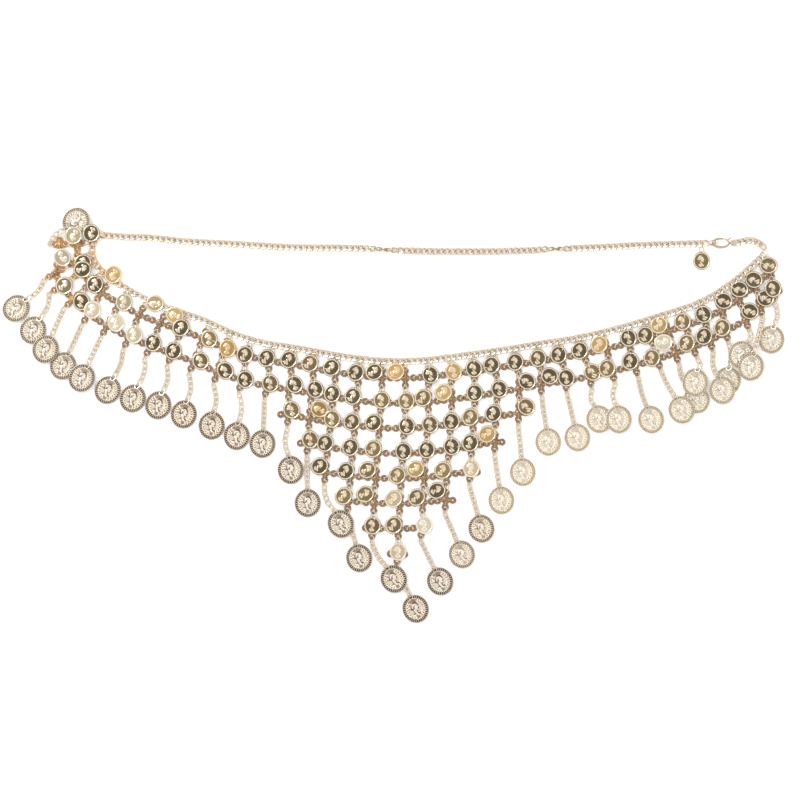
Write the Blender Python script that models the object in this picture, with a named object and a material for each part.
"""Belly dance waist chain of gilt metal, laid flat, front point towards -Y and closing chain towards +Y.

A curb chain runs along the upper edge. Below it hangs a net of cross connectors, 37 columns wide and
two rows deep, with a pointed front of six shorter rows. A small coin hangs over each connector, a short
chain with a large coin hangs from each column, and a long chain closes the loop with a lobster clasp.
Lengths are in millimetres and are turned to metres where meshes are made.
"""
import math

import bmesh
import bpy
from mathutils import Vector

MM = 0.001
GAP = 0.3

# The middle of the whole object in the layout's own coordinates
LAYOUT_MIDDLE = (0.67, -0.38)

# Columns and rows of the net
LAST_COLUMN = 18
FRONT_COLUMN = 5
FULL_ROWS = 2
FRONT_ROWS = 6
FIRST_ROW_DROP = 10.6
ROW_PITCH = 15.75

# Cross connector: four flared arms round a domed boss
ARM_REACH = 6.3
ARM_HALF_TIP = 1.9
VALLEY_RADIUS = 2.0
JOINT_HALF_WIDTH = 1.1
PLATE_THICKNESS = 1.2
BOSS_RADIUS = 1.5
BOSS_SIDES = 8
BOSS_TOP = 1.9

# Jump ring that joins an upper eyelet to what is above it and carries a small coin
RING_WIDTH = 2.2
RING_WALL = 0.4
RING_GRIP = 1.1
RING_BOTTOM = 0.3

# Small coins and large coins
SMALL_COIN_RADIUS = 5.3
SMALL_COIN_THICKNESS = 0.7
SMALL_COIN_LEVEL = 1.5
SMALL_COIN_SIDES = 10
LARGE_COIN_RADIUS = 8.1
LARGE_COIN_THICKNESS = 1.2
LARGE_COIN_SIDES = 12
LARGE_COIN_HOLE_INSET = 1.0
COIN_STRETCH = 1.09
COIN_LAYER = 1.5
LIFT_STEP = 0.9

# Chains
CHAIN_WIDTH = 3.4
DROP_CHAIN_WIDTH = 2.6
DROP_CHAIN_LENGTH = 22.0
DROP_CHAIN_PARTS = 3
DROP_ROOT = 1.8
DROP_CHAIN_BOTTOM = 0.15
DROP_CHAIN_HEIGHT = 0.9
DROP_BOW_LIMIT = 2.2
DROP_RISE_SHARE = 2 / 3
CHAIN_SPACING = 6.2

# Clasp and the ring it is hooked into
CLASP_LEFT = 199.6
CLASP_Y = 107.6
CLAW_LENGTH = 11.6
CLAW_WIDTH = 6.8
CLASP_WIRE = 1.4
CLASP_BOTTOM = 1.8
CLAW_ENDS = (12.0, 72.0)
CLAW_PARTS = 16
GATE_ENDS = (17.0, 67.0)
GATE_PARTS = 4
LEVER_ANGLE = 38.0
LEVER_LENGTH = 1.8
LEVER_INSET = 0.2
EYE_RADIUS = 2.0
EYE_HOLE_RADIUS = 0.9
EYE_SIDES = 10
EYE_INSET = 0.1
EYE_OVERLAP = 0.2
CATCH_RING_RADIUS = 2.3
CATCH_RING_WIRE = 0.45
CATCH_RING_SEGMENTS = 12
CATCH_RING_SIDES = 5
CATCH_RING_TILT = 60.0
CATCH_RING_INSET = 0.2
CHARM_COIN = (193.5, 96.5)
CHARM_RING_TOP = 105.6
CHARM_RING_INSET = 0.1

# Centre line of the upper edge chain, left end first: x, y
TOP_ROUTE = (
    (-185.0, 111.5), (-188.0, 104.5), (-185.5, 94.5), (-173.5, 83.5), (-150.5, 70.5), (-134.5, 65.0),
    (-117.5, 59.0), (-98.5, 50.5), (-80.0, 45.0), (-58.0, 41.5), (-33.0, 37.0), (-8.0, 34.0),
    (17.0, 34.0), (42.5, 37.0), (67.5, 40.5), (92.5, 44.5), (117.5, 48.5), (142.5, 54.5),
    (167.5, 62.0), (192.5, 70.5), (211.5, 82.0), (229.0, 97.0), (233.0, 101.5),
)

# Centre line of the closing chain, left end first: x, y
CLOSING_ROUTE = (
    (-183.0, 112.8), (-167.5, 111.5), (-152.0, 111.0), (-127.0, 108.5), (-98.5, 107.0), (-64.0, 105.0),
    (-26.5, 104.5), (-4.5, 103.5), (23.5, 102.5), (67.5, 102.5), (105.0, 104.0), (130.0, 105.0),
    (161.0, 106.5), (197.2, 107.6),
)

# Centre line of the short chain from the clasp to the right end: x, y
END_ROUTE = ((213.6, 107.6), (218.0, 108.4), (224.0, 109.4), (229.5, 107.4), (233.0, 104.4))

# Where the columns hang on the upper chain: column, distance from the chain's left end
COLUMN_PLACES = ((-18, 3.5), (-14, 31.5), (-13, 43.8), (11, 378.0), (18, 457.0))

# How the net falls: column, share of full spacing, then degrees from straight down, positive to the
# right, for row 1, row 2 and the front rows
FALLS = (
    (-18, 0.70, -83, -88, 0), (-17, 1.00, -62, -60, 0), (-16, 1.00, -58, -56, 0), (-15, 0.95, -48, -46, 0),
    (-14, 1.00, -36, -31, 0), (-12, 1.00, -29, -25, 0), (-9, 1.00, -26, -21, 0), (-6, 1.00, -10, -8, 0),
    (-3, 1.00, -9, -6, -6), (0, 1.00, 1, 0, -3), (3, 1.00, 9, 3, -4), (6, 0.93, 8, 3, 0),
    (8, 0.93, 11, 12, 0), (11, 0.93, 16, 17, 0), (13, 0.90, 19, 19, 0), (15, 0.88, 32, 10, 0),
    (16, 0.88, 38, 18, 0), (18, 0.84, 60, 8, 0),
)

# How the drops lie: column, degrees from straight down, distance from the net to the coin's centre
DROPS = (
    (-18, 134, 21.0), (-17, -45, 26.5), (-16, -26, 26.5), (-15, -25, 29.5), (-13, -25, 29.5),
    (-10, -13, 27.0), (-8, -3, 27.0), (-6, -3, 29.5), (-5, 4, 28.0), (-4, 1, 30.5), (-3, 22, 27.5),
    (-2, 14, 30.0), (-1, 29, 28.5), (0, 23, 30.0), (1, 24, 29.5), (2, 21, 29.5), (4, 8, 30.5), (5, 5, 31.0),
    (6, 8, 30.0), (7, 13, 30.0), (8, 13, 21.0), (9, 6, 24.0), (10, 17, 29.0), (11, 27, 29.0),
    (12, 26, 26.0), (13, -3, 16.5), (14, 13, 26.0), (15, 0, 25.0), (16, -16, 17.0), (17, -13, 33.0),
    (18, -5, 24.5),
)

# Large coins that lie over their neighbours, by column: how many coin layers up
RAISED_DROPS = {-18: 2, -17: 1, -15: 1, -13: 1, -3: 1, -1: 1, 9: 1, 11: 1, 13: 1, 14: 1, 16: 1, 17: 2}

# How the small coins have swung, by row and from left to right: degrees from straight down
COIN_SWINGS = {
    1: (160, -30, -65, -25, 150, -10, 90, 70, -35, 5, -5, -25, -30, -35, -40, -40, -25, -50, -55,
        15, 20, 10, -15, -5, 0, -10, -15, -30, 20, -10, -40, 5, 30, 75, 85, 70, 85),
    2: (150, -150, -45, -5, -20, 15, 0, -15, -20, 10, 20, 5, 10, 25, 15, -15, -30, 0, 5,
        -30, -50, 0, 15, 55, 65, 15, 35, -15, -10, -10, -80, -20, -25, -15, 70, 65, 5),
    3: (20, 65, 0, -25, -40, 10, 10, 0, -25, -20, 45),
    4: (10, -25, -20, -30, 0, 0, 10, -15, -55),
    5: (-45, -35, -60, -25, -60, -30, 0),
    6: (-35, -65, -40, -40, -65),
    7: (-5, -30, 10),
    8: (0,),
}
# How far the small coins hang from their rings' upper ends: column, distance to the coin's middle
COIN_HANGS = (
    (-18, 6.0), (-17, 6.0), (-15, 7.0), (-14, 5.2), (-13, 6.0), (-11, 6.0), (-9, 7.8), (-7, 7.8), (-5, 6.0),
    (0, 7.2), (3, 6.6), (9, 6.0), (10, 5.0), (11, 7.0), (12, 5.2), (18, 5.2),
)

# Small coins that lie on others, by row and column: steps up
LIFTED_COINS = {
    (1, -18): 3, (1, -17): 1, (1, -16): 2, (1, -14): 1, (2, -18): 3, (2, -17): 2, (2, -16): 1, (2, -14): 1,
    (1, -10): 1, (1, 17): 1, (2, 7): 1, (2, 9): 1, (2, 14): 1, (2, 18): 1, (3, -3): 1, (4, -3): 1,
}

# Connectors that show bare, with their boss, where the coin has swung away
BARE_CONNECTORS = ((1, -12), (1, -11), (2, -17), (2, 2), (4, 4), (5, 1), (6, -1), (6, 2))


# %% Layout


class Route:
    """A smooth curve through a few points in the plane, read by the distance along it."""

    STEPS = 16

    def __init__(self, points):
        ends = [2 * Vector(points[0]) - Vector(points[1])]
        ends += [Vector(point) for point in points]
        ends += [2 * Vector(points[-1]) - Vector(points[-2])]
        self.points = []
        for before, start, stop, after in zip(ends, ends[1:], ends[2:], ends[3:]):
            for step in range(self.STEPS):
                self.points.append(spline_point(before, start, stop, after, step / self.STEPS))
        self.points.append(ends[-2])
        self.distances = [0.0]
        for start, stop in zip(self.points, self.points[1:]):
            self.distances.append(self.distances[-1] + (stop - start).length)
        self.length = self.distances[-1]

    def at(self, distance):
        """The point that lies this far along the curve."""
        for index in range(1, len(self.points)):
            if self.distances[index] >= distance or index == len(self.points) - 1:
                run = self.distances[index] - self.distances[index - 1]
                share = (distance - self.distances[index - 1]) / run
                return self.points[index - 1].lerp(self.points[index], share)

    def heading(self, distance):
        """The unit vector along the curve at this distance."""
        return (self.at(distance + 0.5) - self.at(distance - 0.5)).normalized()

    def even_points(self, spacing):
        """Points from end to end, as near to the spacing as whole parts allow."""
        parts = round(self.length / spacing)
        return [self.at(self.length * index / parts) for index in range(parts + 1)]


def spline_point(before, start, stop, after, share):
    """A point of the curve that passes through start and stop, by its share of the way."""
    return 0.5 * (
        2 * start
        + (stop - before) * share
        + (2 * before - 5 * start + 4 * stop - after) * share**2
        + (3 * start - before - 3 * stop + after) * share**3
    )


def read_table(table, column, field):
    """The field's value at a column, in proportion between the table's rows."""
    for low, high in zip(table, table[1:]):
        if low[0] <= column <= high[0]:
            share = (column - low[0]) / (high[0] - low[0])
            return low[field] + (high[field] - low[field]) * share
    raise ValueError(f"column {column} lies outside the table")


def hanging(degrees):
    """The unit vector this many degrees from straight down, positive to the right."""
    angle = math.radians(degrees)
    return Vector((math.sin(angle), -math.cos(angle)))


def row_columns(row):
    """The columns that have a connector in this row."""
    last = LAST_COLUMN if row <= FULL_ROWS else FRONT_COLUMN + FULL_ROWS + 1 - row
    return range(-last, last + 1)


def rows_in_column(column):
    """How many connectors hang in this column."""
    return FULL_ROWS + max(0, FRONT_ROWS - abs(column))


def connector_centre(route, row, column):
    """The middle of a connector; row 0 is the upper chain."""
    centre = route.at(read_table(COLUMN_PLACES, column, 1))
    spacing = read_table(FALLS, column, 1)
    for step in range(1, row + 1):
        field = 2 if step == 1 else 3 if step == 2 else 4
        distance = FIRST_ROW_DROP if step == 1 else ROW_PITCH * spacing
        centre = centre + hanging(read_table(FALLS, column, field)) * distance
    return centre


class Connector:
    """One cross connector's place: its middle and the directions of its upper and lower arms."""

    def __init__(self, route, row, column):
        self.row = row
        self.column = column
        self.centre = connector_centre(route, row, column)
        self.reach = ARM_REACH * read_table(FALLS, column, 1)
        above = connector_centre(route, row - 1, column)
        self.up = (above - self.centre).normalized()
        self.ring_top = (above - self.centre).length - GAP - self.edge_above(route)
        if row < rows_in_column(column):
            self.down = (connector_centre(route, row + 1, column) - self.centre).normalized()
        else:
            self.down = -self.up

    def edge_above(self, route):
        """How far the eyelet or the slanting chain above reaches towards this connector."""
        if self.row > 1:
            return self.reach
        along = abs(self.up.dot(route.heading(read_table(COLUMN_PLACES, self.column, 1))))
        return (CHAIN_WIDTH / 2 + RING_WIDTH / 2 * along) / math.sqrt(1 - along**2)

    def coin_centre(self):
        """The middle of the small coin and the direction it hangs in."""
        direction = hanging(COIN_SWINGS[self.row][self.column - row_columns(self.row)[0]])
        distance = read_table(COIN_HANGS, self.column, 1)
        return self.centre + self.up * (self.ring_top - RING_WALL) + direction * distance, direction

    def coin_level(self):
        """The height of the small coin's underside."""
        return SMALL_COIN_LEVEL + LIFT_STEP * LIFTED_COINS.get((self.row, self.column), 0)


# %% Making meshes


def gilt(name, colour, roughness):
    """A metal finish."""
    material = bpy.data.materials.new(name)
    material.use_nodes = True
    shader = material.node_tree.nodes["Principled BSDF"]
    shader.inputs["Base Color"].default_value = (*colour, 1)
    shader.inputs["Metallic"].default_value = 1.0
    shader.inputs["Roughness"].default_value = roughness
    return material


def new_object(name, data, collection):
    """An object for this mesh or curve in this collection, placed from the layout's own origin."""
    made = bpy.data.objects.new(name, data)
    made.parent = bpy.data.objects["layout_origin"]
    collection.objects.link(made)
    return made


def meshed(source, collection):
    """The same shape as a closed mesh, in place of a curve."""
    bpy.context.view_layer.update()
    evaluated = source.evaluated_get(bpy.context.evaluated_depsgraph_get())
    mesh = bpy.data.meshes.new_from_object(evaluated)
    mesh.transform(source.matrix_basis)
    shape = bmesh.new()
    shape.from_mesh(mesh)
    bmesh.ops.remove_doubles(shape, verts=shape.verts, dist=0.00001)
    bmesh.ops.recalc_face_normals(shape, faces=shape.faces)
    shape.to_mesh(mesh)
    shape.free()
    name = source.name
    bpy.data.objects.remove(source)
    return new_object(name, mesh, collection)


def plate(name, outlines, bottom, top, collection):
    """A flat outline with a thickness, and holes where more outlines lie inside it."""
    curve = bpy.data.curves.new(name, "CURVE")
    curve.dimensions = "2D"
    curve.fill_mode = "BOTH"
    curve.extrude = (top - bottom) / 2 * MM
    for outline in outlines:
        spline = curve.splines.new("POLY")
        spline.points.add(len(outline) - 1)
        for point, corner in zip(spline.points, outline):
            point.co = (corner.x * MM, corner.y * MM, 0, 1)
        spline.use_cyclic_u = True
    made = new_object(name, curve, collection)
    made.location.z = (top + bottom) / 2 * MM
    return meshed(made, collection)


def flat_chain(name, points, width, height, collection):
    """A chain as a flat bar with square edges along points of x, y and the underside's height."""
    curve = bpy.data.curves.new(name, "CURVE")
    curve.dimensions = "3D"
    curve.twist_mode = "Z_UP"
    curve.bevel_depth = width / math.sqrt(2) * MM
    curve.bevel_resolution = 0
    curve.use_fill_caps = True
    flatness = height / width
    spline = curve.splines.new("POLY")
    spline.points.add(len(points) - 1)
    for point, place in zip(spline.points, points):
        point.co = (place[0] * MM, place[1] * MM, (place[2] + height / 2) / flatness * MM, 1)
        point.tilt = math.radians(45)
    made = new_object(name, curve, collection)
    made.scale.z = flatness
    return meshed(made, collection)


def coin(name, centre, direction, radius, sides, bottom, thickness, collection):
    """A coin, a little longer along the direction that it hangs in."""
    shape = bmesh.new()
    bmesh.ops.create_cone(
        shape, cap_ends=True, segments=sides, radius1=radius * MM, radius2=radius * MM, depth=thickness * MM
    )
    bmesh.ops.scale(shape, vec=(1, COIN_STRETCH, 1), verts=shape.verts)
    mesh = bpy.data.meshes.new(name)
    shape.to_mesh(mesh)
    shape.free()
    made = new_object(name, mesh, collection)
    made.location = (centre.x * MM, centre.y * MM, (bottom + thickness / 2) * MM)
    made.rotation_euler.z = math.atan2(direction.x, -direction.y)
    return made


def block(name, start, stop, width, bottom, top, collection):
    """A straight bar between two points in the plane, with a width and two heights."""
    along = stop - start
    shape = bmesh.new()
    bmesh.ops.create_cube(shape, size=1)
    bmesh.ops.scale(shape, vec=(width * MM, along.length * MM, (top - bottom) * MM), verts=shape.verts)
    mesh = bpy.data.meshes.new(name)
    shape.to_mesh(mesh)
    shape.free()
    middle = (start + stop) / 2
    made = new_object(name, mesh, collection)
    made.location = (middle.x * MM, middle.y * MM, (bottom + top) / 2 * MM)
    made.rotation_euler.z = math.atan2(-along.x, along.y)
    return made


def boss(name, centre, collection):
    """The domed middle of a connector that shows bare."""
    shape = bmesh.new()
    foot = PLATE_THICKNESS / 2
    bmesh.ops.create_cone(
        shape, cap_ends=True, segments=BOSS_SIDES, radius1=BOSS_RADIUS * MM, radius2=BOSS_RADIUS / 2 * MM,
        depth=(BOSS_TOP - foot) * MM
    )
    mesh = bpy.data.meshes.new(name)
    shape.to_mesh(mesh)
    shape.free()
    made = new_object(name, mesh, collection)
    made.location = (centre.x * MM, centre.y * MM, (BOSS_TOP + foot) / 2 * MM)
    return made


def fused(base, additions, cutters):
    """One body from the base and everything that is joined to it."""
    group = bpy.data.collections.new(base.name + "_joined")
    cutters.children.link(group)
    for addition in additions:
        addition.hide_render = True
        addition.display_type = "WIRE"
        group.objects.link(addition)
        cutters.objects.unlink(addition)
    join = base.modifiers.new("joined", "BOOLEAN")
    join.operation = "UNION"
    join.solver = "EXACT"
    join.operand_type = "COLLECTION"
    join.collection = group
    return base


# %% Sub-parts


def row_outline(connectors):
    """The outline of one row of connectors, joined side by side at their rings."""
    lower = []
    upper = []
    for index, this in enumerate(connectors):
        left = side_arm(this, connectors[index - 1] if index else None, -1)
        right = side_arm(this, connectors[index + 1] if index + 1 < len(connectors) else None, 1)
        if index == 0:
            lower.append(left[1])
            upper.append(left[0])
        upper.append(valley(this, left[2], this.up))
        upper += arm_tip(this, this.up)
        upper.append(valley(this, right[2], this.up))
        lower.append(valley(this, left[2], this.down))
        lower += reversed(arm_tip(this, this.down))
        lower.append(valley(this, right[2], this.down))
        upper.append(right[0])
        lower.append(right[1])
    return lower + upper[::-1]


def side_arm(this, neighbour, side):
    """The upper and lower corners of a connector's arm on one side, and its direction."""
    if neighbour:
        across = (neighbour.centre - this.centre) / 2
        outward = across.normalized()
        reach = across.length
        half = JOINT_HALF_WIDTH
    else:
        outward = Vector((this.up.y, -this.up.x)) * side
        reach = this.reach
        half = ARM_HALF_TIP
    upright = Vector((-outward.y, outward.x)) * side
    end = this.centre + outward * reach
    return end + upright * half, end - upright * half, outward


def valley(this, first, second):
    """The corner between two neighbouring arms."""
    return this.centre + (first + second).normalized() * VALLEY_RADIUS


def arm_tip(this, outward):
    """The two corners of an upper or lower arm's end, left one first as seen along it."""
    across = Vector((outward.y, -outward.x)) * ARM_HALF_TIP
    end = this.centre + outward * this.reach
    return [end - across, end + across]


def net_row(name, route, row, columns, finish, parts, cutters):
    """One stretch of a row: connectors, jump rings and small coins in one body."""
    connectors = [Connector(route, row, column) for column in columns]
    base = plate(name, [row_outline(connectors)], 0, PLATE_THICKNESS, parts)
    additions = []
    for this in connectors:
        tag = f"{name}_{this.column}"
        level = this.coin_level()
        ring_start = this.centre + this.up * (this.reach - RING_GRIP)
        ring_stop = this.centre + this.up * this.ring_top
        ring_height = level + SMALL_COIN_THICKNESS / 2
        additions.append(
            block(tag + "_ring", ring_start, ring_stop, RING_WIDTH, RING_BOTTOM, ring_height, cutters)
        )
        centre, direction = this.coin_centre()
        additions.append(
            coin(tag + "_coin", centre, direction, SMALL_COIN_RADIUS, SMALL_COIN_SIDES, level,
                 SMALL_COIN_THICKNESS, cutters)
        )
        if (row, this.column) in BARE_CONNECTORS:
            additions.append(boss(tag + "_boss", this.centre, cutters))
    made = fused(base, additions, cutters)
    made.data.materials.append(finish)
    return made


def drop(name, route, column, finish, parts, cutters):
    """A short chain that hangs from a column, with a large coin at its end."""
    last = Connector(route, rows_in_column(column), column)
    root = last.centre + last.down * (last.reach + GAP)
    direction = hanging(read_table(DROPS, column, 1))
    centre = root + direction * read_table(DROPS, column, 2)
    bottom = COIN_LAYER * RAISED_DROPS.get(column, 0)
    hole = centre - direction * (LARGE_COIN_RADIUS - LARGE_COIN_HOLE_INSET)
    base = coin(name, centre, direction, LARGE_COIN_RADIUS, LARGE_COIN_SIDES, bottom, LARGE_COIN_THICKNESS, parts)
    knee = root + last.down * DROP_ROOT
    points = [(root.x, root.y, DROP_CHAIN_BOTTOM)] + bowed_points(knee, hole, bottom)
    chain = flat_chain(name + "_chain", points, DROP_CHAIN_WIDTH, DROP_CHAIN_HEIGHT, cutters)
    made = fused(base, [chain], cutters)
    made.data.materials.append(finish)
    return made


def bowed_points(start, stop, rise):
    """Points of a chain that is longer than its span, so that it lies in a bow to its lower side."""
    span = (stop - start).length
    slack = max(0.0, DROP_CHAIN_LENGTH - DROP_ROOT - span)
    # A shallow arc is longer than its span by 8/3 of its height squared over the span
    bow = min(math.sqrt(3 / 8 * span * slack), DROP_BOW_LIMIT)
    rightward = 1 if (stop.x > start.x) == (stop.y < start.y) else -1
    aside = Vector((stop.y - start.y, start.x - stop.x)).normalized() * bow * rightward
    points = []
    for index in range(DROP_CHAIN_PARTS + 1):
        share = index / DROP_CHAIN_PARTS
        place = start.lerp(stop, share) + aside * math.sin(math.pi * share)
        points.append((place.x, place.y, DROP_CHAIN_BOTTOM + rise * min(1, share / DROP_RISE_SHARE)))
    return points


def long_chain(name, route, finish, parts):
    """One of the chains of the waist loop, flat on the surface."""
    points = [(place.x, place.y, 0.0) for place in route.even_points(CHAIN_SPACING)]
    made = flat_chain(name, points, CHAIN_WIDTH, PLATE_THICKNESS, parts)
    made.data.materials.append(finish)
    return made


def claw_point(degrees, inward):
    """A point of the clasp's oval, by the angle from its right end and how far it lies inside the rim."""
    angle = math.radians(degrees)
    across = (CLAW_LENGTH / 2 - inward) * math.cos(angle)
    return Vector((CLASP_LEFT + CLAW_LENGTH / 2 + across, CLASP_Y + (CLAW_WIDTH / 2 - inward) * math.sin(angle)))


def claw_band(start, stop, parts):
    """The outline of a stretch of the clasp's oval wire between two angles."""
    angles = [start + (stop - start) * index / parts for index in range(parts + 1)]
    outer = [claw_point(angle, 0) for angle in angles]
    inner = [claw_point(angle, CLASP_WIRE) for angle in reversed(angles)]
    return outer + inner


def circle(centre, radius, sides):
    """Points round a circle."""
    return [centre + hanging(360 * index / sides) * radius for index in range(sides)]


def clasp(finish, parts, cutters):
    """The lobster clasp: its claw with the swivel eye, and the sprung gate with its lever."""
    top = CLASP_BOTTOM + CLASP_WIRE
    claw = plate("clasp", [claw_band(CLAW_ENDS[1], CLAW_ENDS[0] + 360, CLAW_PARTS)], CLASP_BOTTOM, top, parts)
    eye_centre = Vector((CLASP_LEFT + CLAW_LENGTH + EYE_RADIUS - EYE_OVERLAP, CLASP_Y))
    rims = [circle(eye_centre, radius, EYE_SIDES) for radius in (EYE_RADIUS, EYE_HOLE_RADIUS)]
    eye = plate("clasp_eye", rims, CLASP_BOTTOM + EYE_INSET, top - EYE_INSET, cutters)
    fused(claw, [eye], cutters).data.materials.append(finish)

    gate = plate("clasp_gate", [claw_band(*GATE_ENDS, GATE_PARTS)], CLASP_BOTTOM, top, parts)
    foot = claw_point(LEVER_ANGLE, CLASP_WIRE / 2)
    tip = foot + hanging(90 + LEVER_ANGLE) * (CLASP_WIRE / 2 + LEVER_LENGTH)
    lever = block("clasp_lever", foot, tip, CLASP_WIRE, CLASP_BOTTOM + LEVER_INSET, top - LEVER_INSET, cutters)
    fused(gate, [lever], cutters).data.materials.append(finish)


def catch_ring(finish, parts):
    """The ring that the claw is hooked into, tilted so that it passes round the claw's wire."""
    bpy.ops.mesh.primitive_torus_add(
        major_segments=CATCH_RING_SEGMENTS, minor_segments=CATCH_RING_SIDES,
        major_radius=CATCH_RING_RADIUS * MM, minor_radius=CATCH_RING_WIRE * MM
    )
    torus = bpy.context.object
    made = new_object("catch_ring", torus.data, parts)
    bpy.data.objects.remove(torus)
    height = CLASP_BOTTOM + CLASP_WIRE / 2
    made.location = ((CLASP_LEFT + CATCH_RING_INSET) * MM, CLASP_Y * MM, height * MM)
    made.rotation_euler.x = math.radians(CATCH_RING_TILT)
    made.data.materials.append(finish)


def charm(finish, parts, cutters):
    """The small coin on its ring at the end of the closing chain."""
    centre = Vector(CHARM_COIN)
    top = Vector((centre.x, CHARM_RING_TOP))
    base = coin("charm", centre, hanging(0), SMALL_COIN_RADIUS, SMALL_COIN_SIDES, 0, SMALL_COIN_THICKNESS, parts)
    foot = centre + Vector((0, SMALL_COIN_RADIUS - RING_GRIP))
    ring_top = SMALL_COIN_THICKNESS - CHARM_RING_INSET
    ring = block("charm_ring", foot, top, RING_WIDTH, CHARM_RING_INSET, ring_top, cutters)
    fused(base, [ring], cutters).data.materials.append(finish)


def main():
    for old in list(bpy.data.objects):
        bpy.data.objects.remove(old)
    parts = bpy.data.collections.new("waist_chain")
    cutters = bpy.data.collections.new("joined_shapes")
    for collection in (parts, cutters):
        bpy.context.scene.collection.children.link(collection)
    origin = bpy.data.objects.new("layout_origin", None)
    origin.location = (-LAYOUT_MIDDLE[0] * MM, -LAYOUT_MIDDLE[1] * MM, 0)
    bpy.context.scene.collection.objects.link(origin)

    antique = gilt("antique_gold", (0.33, 0.26, 0.16), 0.3)
    champagne = gilt("champagne_gold", (0.80, 0.62, 0.42), 0.25)
    coin_gold = gilt("pale_coin_gold", (0.62, 0.54, 0.40), 0.35)

    top = Route(TOP_ROUTE)
    long_chain("top_chain", top, champagne, parts)
    long_chain("closing_chain", Route(CLOSING_ROUTE), champagne, parts)
    long_chain("end_chain", Route(END_ROUTE), champagne, parts)
    clasp(champagne, parts, cutters)
    catch_ring(champagne, parts)
    charm(antique, parts, cutters)

    for row in range(1, FULL_ROWS + FRONT_ROWS + 1):
        columns = row_columns(row)
        if row <= FULL_ROWS:
            split = LAST_COLUMN - FRONT_COLUMN
            net_row(f"row_{row}_left", top, row, columns[:split], antique, parts, cutters)
            net_row(f"row_{row}_middle", top, row, columns[split:-split], antique, parts, cutters)
            net_row(f"row_{row}_right", top, row, columns[-split:], antique, parts, cutters)
        else:
            net_row(f"row_{row}", top, row, columns, antique, parts, cutters)

    for number, column in enumerate(row_columns(1), 1):
        drop(f"drop_{number:02d}", top, column, coin_gold, parts, cutters)


main()
